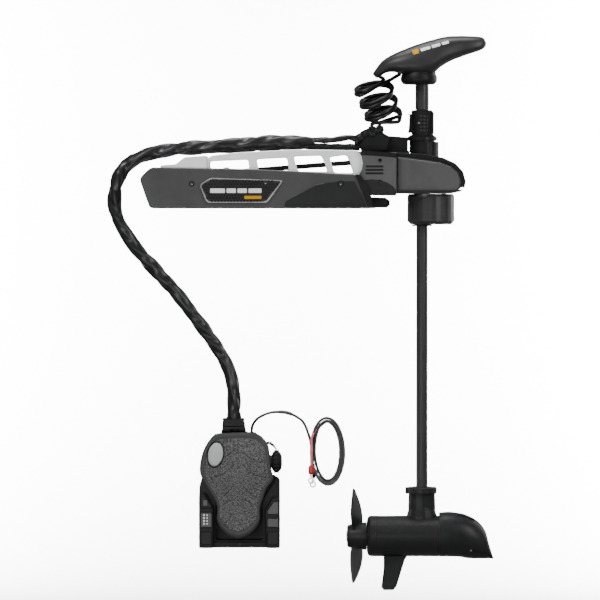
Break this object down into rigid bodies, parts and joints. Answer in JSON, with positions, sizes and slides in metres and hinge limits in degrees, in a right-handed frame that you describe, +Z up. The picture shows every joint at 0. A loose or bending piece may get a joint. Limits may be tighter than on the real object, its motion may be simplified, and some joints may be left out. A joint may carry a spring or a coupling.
{
  "type": "electric trolling motor",
  "caption": "Bow-mount electric trolling motor with folding mount, steerable sliding shaft, submerged propeller unit, foot pedal and cords.",
  "frame": {"origin": "centre of the mount's flat deck face", "axes": "+Z up out of the deck, +X outboard over the bow, towards the shaft; the motor is shown deployed, with the shaft vertical"},
  "size_m": [0.9612, 0.1813, 1.382],
  "materials": {
    "satin_black": "satin moulded black plastic",
    "dark_grey": "smooth dark grey paint",
    "silver": "clear anodised aluminium",
    "steel": "brushed stainless steel",
    "rubber": "grained grey rubber",
    "button_grey": "light grey soft plastic",
    "nylon": "glossy coated nylon sheath and cable jackets",
    "red": "red jacket",
    "copper": "copper"
  },
  "bodies": {
    "mount": {"base_channel": "silver", "side_plate_front": "satin_black", "side_plate_rear": "satin_black", "badge_plate": "dark_grey", "motor_rest": "satin_black", "guide_rail_front": "silver", "guide_rail_rear": "silver", "pivot_bolt_front": "steel", "pivot_bolt_rear": "steel", "link_bracket": "steel", "cable_sleeve": "nylon", "strain_relief": "satin_black", "pedal_base": "satin_black", "power_lead": "nylon", "lead_hank": "nylon", "lead_red": "red", "boot_red": "red", "terminal_red": "copper", "lead_black": "nylon", "boot_black": "nylon", "terminal_black": "copper"},
    "arm": {"arm_front": "silver", "arm_rear": "silver", "cross_tube": "silver"},
    "link": {"tilt_link": "satin_black"},
    "housing": {"steering_housing": "dark_grey", "top_band": "satin_black", "side_cover_front": "satin_black", "side_cover_rear": "satin_black", "link_pin": "steel", "steering_motor_can": "satin_black", "lower_bush": "satin_black", "cable_bridge": "satin_black", "coil_cord": "nylon"},
    "pinion": {"steering_pinion": "steel"},
    "steering": {"steering_tube": "satin_black", "depth_collar": "satin_black"},
    "latch": {"collar_latch": "satin_black"},
    "shaft_unit": {"shaft": "satin_black", "head_shell": "satin_black", "head_cover": "satin_black", "lower_clamp": "satin_black", "motor_case": "satin_black", "nose_cone": "satin_black", "end_bell": "satin_black", "skeg": "satin_black"},
    "rotor": {"armature": "copper", "propeller": "satin_black", "propeller_nut": "steel"},
    "pad": {"pad_frame": "satin_black", "pad_rubber": "rubber"},
    "button": {"momentary_button": "button_grey"},
    "knob": {"speed_knob": "satin_black"},
    "key_left_1": {"key_left_1": "satin_black"},
    "key_left_2": {"key_left_2": "satin_black"},
    "key_left_3": {"key_left_3": "satin_black"},
    "key_right_1": {"key_right_1": "satin_black"},
    "key_right_2": {"key_right_2": "satin_black"},
    "key_right_3": {"key_right_3": "satin_black"}
  },
  "joints": [
    {"name": "arm_fold", "type": "hinge", "parent": "mount", "child": "arm", "pos_m": [-0.08, 0, 0.077], "axis": [0, -1, 0], "range_deg": [0, 180], "deforming": ["cable_sleeve"]},
    {"name": "link_swing", "type": "hinge", "parent": "mount", "child": "link", "pos_m": [-0.08, 0, 0.09], "axis": [0, -1, 0], "range_deg": [0, 175.7]},
    {"name": "housing_tilt", "type": "hinge", "parent": "arm", "child": "housing", "pos_m": [0.3, 0, 0.0935], "axis": [0, -1, 0], "range_deg": [-90.1, 0], "deforming": ["cable_sleeve"]},
    {"name": "steer", "type": "hinge", "parent": "housing", "child": "steering", "pos_m": [0.407, 0, 0], "axis": [0, 0, 1], "range_deg": [-170, 170], "deforming": ["coil_cord"]},
    {"name": "pinion_turn", "type": "hinge", "parent": "housing", "child": "pinion", "pos_m": [0.46, 0, 0.069], "axis": [0, 0, 1], "range_deg": [-330, 330]},
    {"name": "depth_slide", "type": "slide", "parent": "steering", "child": "shaft_unit", "axis": [0, 0, -1], "range_m": [-0.4, 0], "deforming": ["coil_cord"]},
    {"name": "latch_open", "type": "hinge", "parent": "steering", "child": "latch", "pos_m": [0.377, 0, 0.188], "axis": [0, -1, 0], "range_deg": [0, 35]},
    {"name": "propeller_spin", "type": "hinge", "parent": "shaft_unit", "child": "rotor", "pos_m": [0.247, 0, -0.8175], "axis": [1, 0, 0], "continuous": true},
    {"name": "pad_rock", "type": "hinge", "parent": "mount", "child": "pad", "pos_m": [-0.05, 0.004, -0.7], "axis": [1, 0, 0], "range_deg": [-18, 18]},
    {"name": "button_press", "type": "slide", "parent": "pad", "child": "button", "axis": [0, 1, 0], "range_m": [0, 0.003], "stiffness_N_per_m": 900, "springref_m": -0.001},
    {"name": "speed_turn", "type": "hinge", "parent": "pad", "child": "knob", "pos_m": [0.044, -0.017, -0.63], "axis": [1, 0, 0], "range_deg": [-150, 150]},
    {"name": "key_left_1_press", "type": "slide", "parent": "mount", "child": "key_left_1", "axis": [0, 1, 0], "range_m": [0, 0.002], "stiffness_N_per_m": 900, "springref_m": -0.001},
    {"name": "key_left_2_press", "type": "slide", "parent": "mount", "child": "key_left_2", "axis": [0, 1, 0], "range_m": [0, 0.002], "stiffness_N_per_m": 900, "springref_m": -0.001},
    {"name": "key_left_3_press", "type": "slide", "parent": "mount", "child": "key_left_3", "axis": [0, 1, 0], "range_m": [0, 0.002], "stiffness_N_per_m": 900, "springref_m": -0.001},
    {"name": "key_right_1_press", "type": "slide", "parent": "mount", "child": "key_right_1", "axis": [0, 1, 0], "range_m": [0, 0.002], "stiffness_N_per_m": 900, "springref_m": -0.001},
    {"name": "key_right_2_press", "type": "slide", "parent": "mount", "child": "key_right_2", "axis": [0, 1, 0], "range_m": [0, 0.002], "stiffness_N_per_m": 900, "springref_m": -0.001},
    {"name": "key_right_3_press", "type": "slide", "parent": "mount", "child": "key_right_3", "axis": [0, 1, 0], "range_m": [0, 0.002], "stiffness_N_per_m": 900, "springref_m": -0.001}
  ],
  "couplings": [
    {"joint": "link_swing", "follows": "arm_fold", "ratio": 0.9758},
    {"joint": "housing_tilt", "follows": "arm_fold", "ratio": -0.5},
    {"joint": "pinion_turn", "follows": "steer", "ratio": -1.9101}
  ]
}
